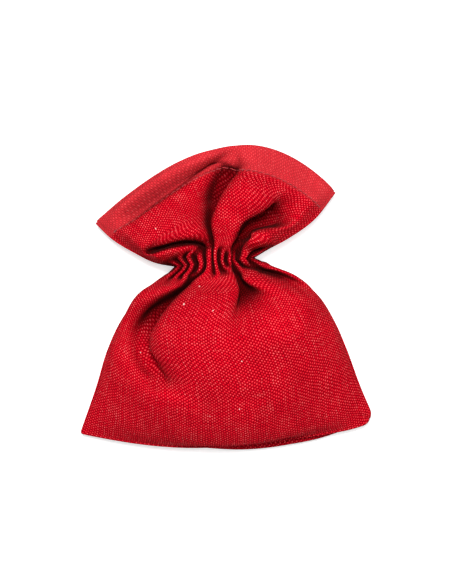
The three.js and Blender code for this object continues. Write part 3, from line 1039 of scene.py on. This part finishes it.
# %% Two plies twisted round the ring
ply_thickness = 0.62
ply_off_middle = 0.28
twist_turns = 17
out_line = ellipse(1, 1)
twist = round_ring * twist_turns
plies = []
for turn in (0, np.pi):
    out, along_neck = np.cos(twist + turn)[:, None], np.sin(twist + turn)[:, None]
    plies.append(middle_line + ply_off_middle * (out * out_line + along_neck * neck_direction))
string = tube("string", plies, ply_thickness, sides=8)
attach(string, "root")
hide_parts("drawstring")

# %% [markdown]
# ## The cloth's weave
#
# In a plain weave every thread goes over one crossing thread and under the next. Its height can
# be written with two sines of the cloth's own millimetres: the sign of one says which thread is
# on top, and its size is the thread's round section. The same height drives the bump and the
# colour: painted shade darkens the deep corners between threads, and a painted highlight makes
# the raised knuckles pale. Long thin noise along each thread makes some threads thicker, as in
# handmade cloth, and so lifts them into more of the painted highlight.
# The hem is two layers thick, so its gaps are closed and it looks smoother and lighter.
#
# Light that gets into a deep crease has met red cloth many times, so the crease is darker and
# redder than a plain shadow. Here that is painted shade on top of the light: Ambient Occlusion
# measures how open the surface is to all that lies around it, and the colour is multiplied by a
# deep red where it is closed in. The weave stays visible that way, which a flat dark colour
# would hide, and it doesn't depend on the camera.


# %% Small helpers for joining nodes
class Finish:
    def __init__(self, name):
        self.material = bpy.data.materials.new(name)
        self.material.use_nodes = True
        self.nodes = self.material.node_tree.nodes
        self.links = self.material.node_tree.links
        self.shader = self.nodes["Principled BSDF"]

    def put(self, value, socket):
        if isinstance(value, bpy.types.NodeSocket):
            self.links.new(value, socket)
        else:
            socket.default_value = value

    def shade(self, **values):
        for name, value in values.items():
            self.put(value, self.shader.inputs[name.replace("_", " ").title().replace("Ior", "IOR")])

    def math(self, kind, *values):
        node = self.nodes.new("ShaderNodeMath")
        node.operation = kind
        for value, socket in zip(values, node.inputs):
            self.put(value, socket)
        return node.outputs[0]

    def noise(self, where, scale, detail=2.0, roughness=0.5):
        node = self.nodes.new("ShaderNodeTexNoise")
        self.put(where, node.inputs["Vector"])
        node.inputs["Scale"].default_value = scale
        node.inputs["Detail"].default_value = detail
        node.inputs["Roughness"].default_value = roughness
        return node.outputs["Fac"]

    def join(self, x, y, z=0.0):
        node = self.nodes.new("ShaderNodeCombineXYZ")
        for value, socket in zip((x, y, z), node.inputs):
            self.put(value, socket)
        return node.outputs[0]

    def span(self, value, low, high, to_low=0.0, to_high=1.0):
        node = self.nodes.new("ShaderNodeMapRange")
        node.interpolation_type = "SMOOTHSTEP"
        for one, socket in zip((value, low, high, to_low, to_high), node.inputs):
            self.put(one, socket)
        return node.outputs[0]

    def colours(self, share, first, second, blend="MIX"):
        node = self.nodes.new("ShaderNodeMix")
        node.data_type = "RGBA"
        node.blend_type = blend
        self.put(share, node.inputs[0])
        self.put(first, node.inputs[6])
        self.put(second, node.inputs[7])
        return node.outputs[2]

    def bump(self, height, distance):
        node = self.nodes.new("ShaderNodeBump")
        node.inputs["Strength"].default_value = 1.0
        node.inputs["Distance"].default_value = distance
        self.put(height, node.inputs["Height"])
        self.shade(normal=node.outputs[0])


# %% The cloth's own millimetres, as the nodes read them
class ClothFinish(Finish):
    def __init__(self, name):
        super().__init__(name)
        cloth = self.nodes.new("ShaderNodeUVMap")
        cloth.uv_map = "ClothMillimetres"
        split = self.nodes.new("ShaderNodeSeparateXYZ")
        self.put(cloth.outputs[0], split.inputs[0])
        self.u, self.v = split.outputs[0], split.outputs[1]

    def stretched(self, across, up, page=0.0):
        return self.join(self.math("MULTIPLY", self.u, across), self.math("MULTIPLY", self.v, up), page)


# %% The height of the threads
warp_pitch = 0.79
weft_pitch = 0.535
thread_wander = 2.2
thread_roundness = 0.6
warp_middle, warp_swing = 0.6, 0.45
weft_middle, weft_swing = 0.5, 0.38
slub_height = 0.4
fibre_height = 0.45
print("warp threads every", warp_pitch, "mm, weft threads every", weft_pitch, "mm")


def woven_height(finish):
    count, stretched = finish.math, finish.stretched
    wander_u = finish.noise(stretched(0.06, 0.14), 1.0, 3.0)
    wander_v = finish.noise(stretched(0.14, 0.06, 7.0), 1.0, 3.0)
    warp_at = count("MULTIPLY_ADD", wander_u, thread_wander, finish.u)
    weft_at = count("MULTIPLY_ADD", wander_v, thread_wander, finish.v)
    sin_warp = count("SINE", count("MULTIPLY", warp_at, math.pi / warp_pitch))
    sin_weft = count("SINE", count("MULTIPLY", weft_at, math.pi / weft_pitch))
    over = count("MULTIPLY", count("SIGN", sin_warp), sin_weft)
    under = count("MULTIPLY", count("SIGN", sin_weft), sin_warp)
    round_warp = count("POWER", count("ABSOLUTE", sin_warp), thread_roundness)
    round_weft = count("POWER", count("ABSOLUTE", sin_weft), thread_roundness)
    high_warp = count("MULTIPLY", round_warp, count("MULTIPLY_ADD", over, warp_swing, warp_middle))
    high_weft = count("MULTIPLY", round_weft, count("MULTIPLY_ADD", under, -weft_swing, weft_middle))
    warp_shows = finish.span(count("SUBTRACT", high_warp, high_weft), -0.12, 0.12)
    warp_slub = finish.noise(stretched(0.9 / warp_pitch, 0.12), 1.0, 1.0)
    weft_slub = finish.noise(stretched(0.12, 0.9 / weft_pitch, 3.0), 1.0, 1.0)
    slub = count("SUBTRACT", count("ADD", warp_slub, weft_slub), 1.0)
    fibre = count("SUBTRACT", finish.noise(stretched(1.0, 1.0), 4.5, 3.0, 0.7), 0.5)
    weave = count("MULTIPLY_ADD", slub, slub_height, count("MAXIMUM", high_warp, high_weft))
    return count("MULTIPLY_ADD", fibre, fibre_height, weave), warp_shows


# %% The colours of the threads and of the hem, with painted shade in the gaps between threads and a painted highlight on their knuckles
black = (0, 0, 0, 1)
# The gap red is painted shade for the deep corners between threads, and the knuckle red is a painted
# highlight on their raised tops.
gap_shade_red = (0.05, 0.0, 0.001, 1)
weft_red = (0.36, 0.0, 0.006, 1)
warp_red = (0.82, 0.004, 0.02, 1)
knuckle_highlight_red = (1.0, 0.27, 0.26, 1)
hem_red = (0.72, 0.045, 0.055, 1)
gap_shade_heights = (0.1, 0.52)
knuckle_highlight_heights = (0.88, 1.18)
knuckle_highlight_share, highlight_loss_in_hem = 0.95, 0.45
hem_closes, hem_tints = 0.55, 0.6
hem_fade = (whole_length - hem_depth - 0.4, whole_length - hem_depth + 1.4)


def woven_colour(finish, weave, warp_shows):
    count = finish.math
    hem = finish.span(finish.v, *hem_fade)
    # Painted shade where the weave is low and a painted highlight where it is highest; the double hem
    # closes the gaps and takes less highlight.
    closed = count("MAXIMUM", finish.span(weave, *gap_shade_heights), count("MULTIPLY", hem, hem_closes))
    blotch = finish.noise(finish.stretched(0.06, 0.06), 1.0, 4.0, 0.6)
    highlight_part = count("MULTIPLY_ADD", hem, -highlight_loss_in_hem, knuckle_highlight_share)
    painted_highlight = count("MULTIPLY", finish.span(weave, *knuckle_highlight_heights), highlight_part)
    tone = finish.colours(warp_shows, weft_red, warp_red)
    tone = finish.colours(count("MULTIPLY", hem, hem_tints), tone, hem_red)
    tone = finish.colours(painted_highlight, tone, knuckle_highlight_red)
    tone = finish.colours(closed, gap_shade_red, tone)
    return finish.colours(finish.span(blotch, 0.3, 0.7, 0.84, 1.0), black, tone)


print("from gap to knuckle:", gap_shade_red[:3], weft_red[:3], warp_red[:3], knuckle_highlight_red[:3])

# %% Flecks of lint and the painted shade of the creases
lint_pale = (0.9, 0.55, 0.5, 1)
lint_spread = 0.2
lint_reach = 0.05
lint_share = 0.06
crease_shade_red = (0.09, 0.02, 0.03, 1)
crease_reach = 0.009
crease_shade_openness = (0.28, 0.9)
deepest_left = 0.04


def with_lint(finish, tone):
    count = finish.math
    cells = finish.nodes.new("ShaderNodeTexVoronoi")
    cells.voronoi_dimensions = "2D"
    cells.inputs["Scale"].default_value = lint_spread
    finish.put(finish.stretched(1.0, 0.6), cells.inputs["Vector"])
    chance = finish.nodes.new("ShaderNodeSeparateColor")
    finish.put(cells.outputs["Color"], chance.inputs[0])
    fleck_size = count("MULTIPLY", chance.outputs[1], lint_reach)
    near_middle = count("LESS_THAN", cells.outputs["Distance"], fleck_size)
    lint = count("MULTIPLY", near_middle, count("LESS_THAN", chance.outputs[0], lint_share))
    return finish.colours(lint, tone, lint_pale)


# Painted shade: where Ambient Occlusion finds cloth close around, the colour is multiplied by a deep red.
def with_crease_shade(finish, tone):
    around = finish.nodes.new("ShaderNodeAmbientOcclusion")
    around.samples = 8
    around.inputs["Distance"].default_value = crease_reach
    openness = finish.span(around.outputs["AO"], *crease_shade_openness, deepest_left, 1.0)
    return finish.colours(openness, finish.colours(1.0, tone, crease_shade_red, "MULTIPLY"), tone)


print("cloth that faces cloth within %.0f mm is darkened" % (1000 * crease_reach))

# %% The red plain weave on both panels
weave_bump = 0.00018


def woven(name):
    finish = ClothFinish(name)
    weave, warp_shows = woven_height(finish)
    tone = with_crease_shade(finish, with_lint(finish, woven_colour(finish, weave, warp_shows)))
    finish.shade(base_color=tone, roughness=0.9, specular_ior_level=0.01)
    finish.shade(sheen_weight=0.015, sheen_roughness=0.4, sheen_tint=(1.0, 0.42, 0.38, 1))
    finish.bump(weave, weave_bump)
    return finish.material


red_cloth = woven("red_plain_weave")
for piece in (front_cloth, back_cloth):
    piece.data.materials.append(red_cloth)
    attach(piece, "root")
print("the weave is made of", len(red_cloth.node_tree.nodes), "nodes")

# %% [markdown]
# ## Thread and string
#
# Sewing thread and string are spun and twisted, so fine noise breaks up their colour, and they
# are a little darker than the cloth.

# %% Spun thread
fuzz_bump = 0.00008


def spun(name, dark, pale, scale):
    finish = Finish(name)
    place = finish.nodes.new("ShaderNodeTexCoord")
    fuzz = finish.noise(place.outputs["Object"], scale, 4.0, 0.7)
    finish.shade(base_color=finish.colours(finish.span(fuzz, 0.3, 0.7), dark, pale))
    finish.shade(roughness=0.8, sheen_weight=0.2)
    finish.bump(fuzz, fuzz_bump)
    return finish.material


thread_finish = spun("red_thread", (0.3, 0.004, 0.01, 1), (0.62, 0.03, 0.04, 1), 4000)
string_finish = spun("red_string", (0.22, 0.003, 0.008, 1), (0.5, 0.015, 0.022, 1), 2500)
for piece, finish in (
    (front_stitches, thread_finish), (back_stitches, thread_finish), (string, string_finish)
):
    piece.data.materials.append(finish)
    print(piece.name, "has the finish", finish.name)

# %% [markdown]
# ## How much cloth each panel takes
#
# Each panel is a sheet cut 114 x 130.5 mm: the cloth that shows, a seam allowance at both sides
# and the bottom, and the hem at the top.

# %% [markdown]
# ## Table, light and camera
#
# The photograph is a product shot from straight above on white. Its light is soft and comes from
# nearly overhead, a little from the mouth's side, so what faces the bottom seam is darker. The
# table is pale, and only what the camera sees of it directly is turned to white, so that the
# cloth is lit by an ordinary pale table. The camera stands far off with a long lens.

# %% A white table
table_half = 3
table_grey = 0.8
added_white = 0.6


def white_table():
    finish = Finish("white_table")
    ray = finish.nodes.new("ShaderNodeLightPath")
    straight = finish.math("ADD", ray.outputs["Is Camera Ray"], ray.outputs["Is Glossy Ray"])
    straight = finish.math("ADD", straight, ray.outputs["Is Transmission Ray"])
    finish.shade(base_color=(table_grey, table_grey, table_grey, 1), roughness=0.9)
    finish.shade(emission_color=(1, 1, 1, 1))
    finish.shade(emission_strength=finish.math("MULTIPLY", straight, added_white))
    return finish.material


table_mesh = bpy.data.meshes.new("table")
table_corners = [(table_half * x, table_half * y, 0) for x, y in ((-1, -1), (1, -1), (1, 1), (-1, 1))]
table_mesh.from_pydata(table_corners, [], [(0, 1, 2, 3)])
table = bpy.data.objects.new("table", table_mesh)
bpy.context.scene.collection.objects.link(table)
table.data.materials.append(white_table())
print("table: %d m wide" % (2 * table_half))


# %% Soft lamps and a pale room
def soft_lamp(name, place, size, power):
    data = bpy.data.lights.new(name, "AREA")
    data.shape = "DISK"
    data.size = size
    data.energy = power
    lamp = bpy.data.objects.new(name, data)
    lamp.location = place
    lamp.rotation_euler = (Vector((0, 0, 0.01)) - Vector(place)).to_track_quat("-Z", "Y").to_euler()
    bpy.context.scene.collection.objects.link(lamp)
    print(name, "%.1f W, %.1f m across" % (power, size))


soft_lamp("key_lamp", (-0.04, 0.28, 1.2), 0.3, 16.4)
soft_lamp("top_lamp", (0.1, 0.05, 1.4), 0.4, 6.6)
room = bpy.data.worlds.new("room")
room.use_nodes = True
room.node_tree.nodes["Background"].inputs[0].default_value = (1, 1, 1, 1)
room.node_tree.nodes["Background"].inputs[1].default_value = 0.08
bpy.context.scene.world = room
bpy.context.scene.view_settings.view_transform = "Standard"

# %% The camera, straight above
metres_per_pixel = 0.000341
photo_rows = 584
picture_middle = (-0.00017, 0.00205)
camera_height = 1.2
focus_height = 0.014
sensor_size = 24
camera_data = bpy.data.cameras.new("camera")
camera_data.sensor_fit = "VERTICAL"
camera_data.sensor_height = sensor_size
camera_data.lens = sensor_size * (camera_height - focus_height) / (photo_rows * metres_per_pixel)
camera = bpy.data.objects.new("camera", camera_data)
camera.location = (*picture_middle, camera_height)
bpy.context.scene.collection.objects.link(camera)
bpy.context.scene.camera = camera
print("lens %.0f mm" % camera_data.lens)
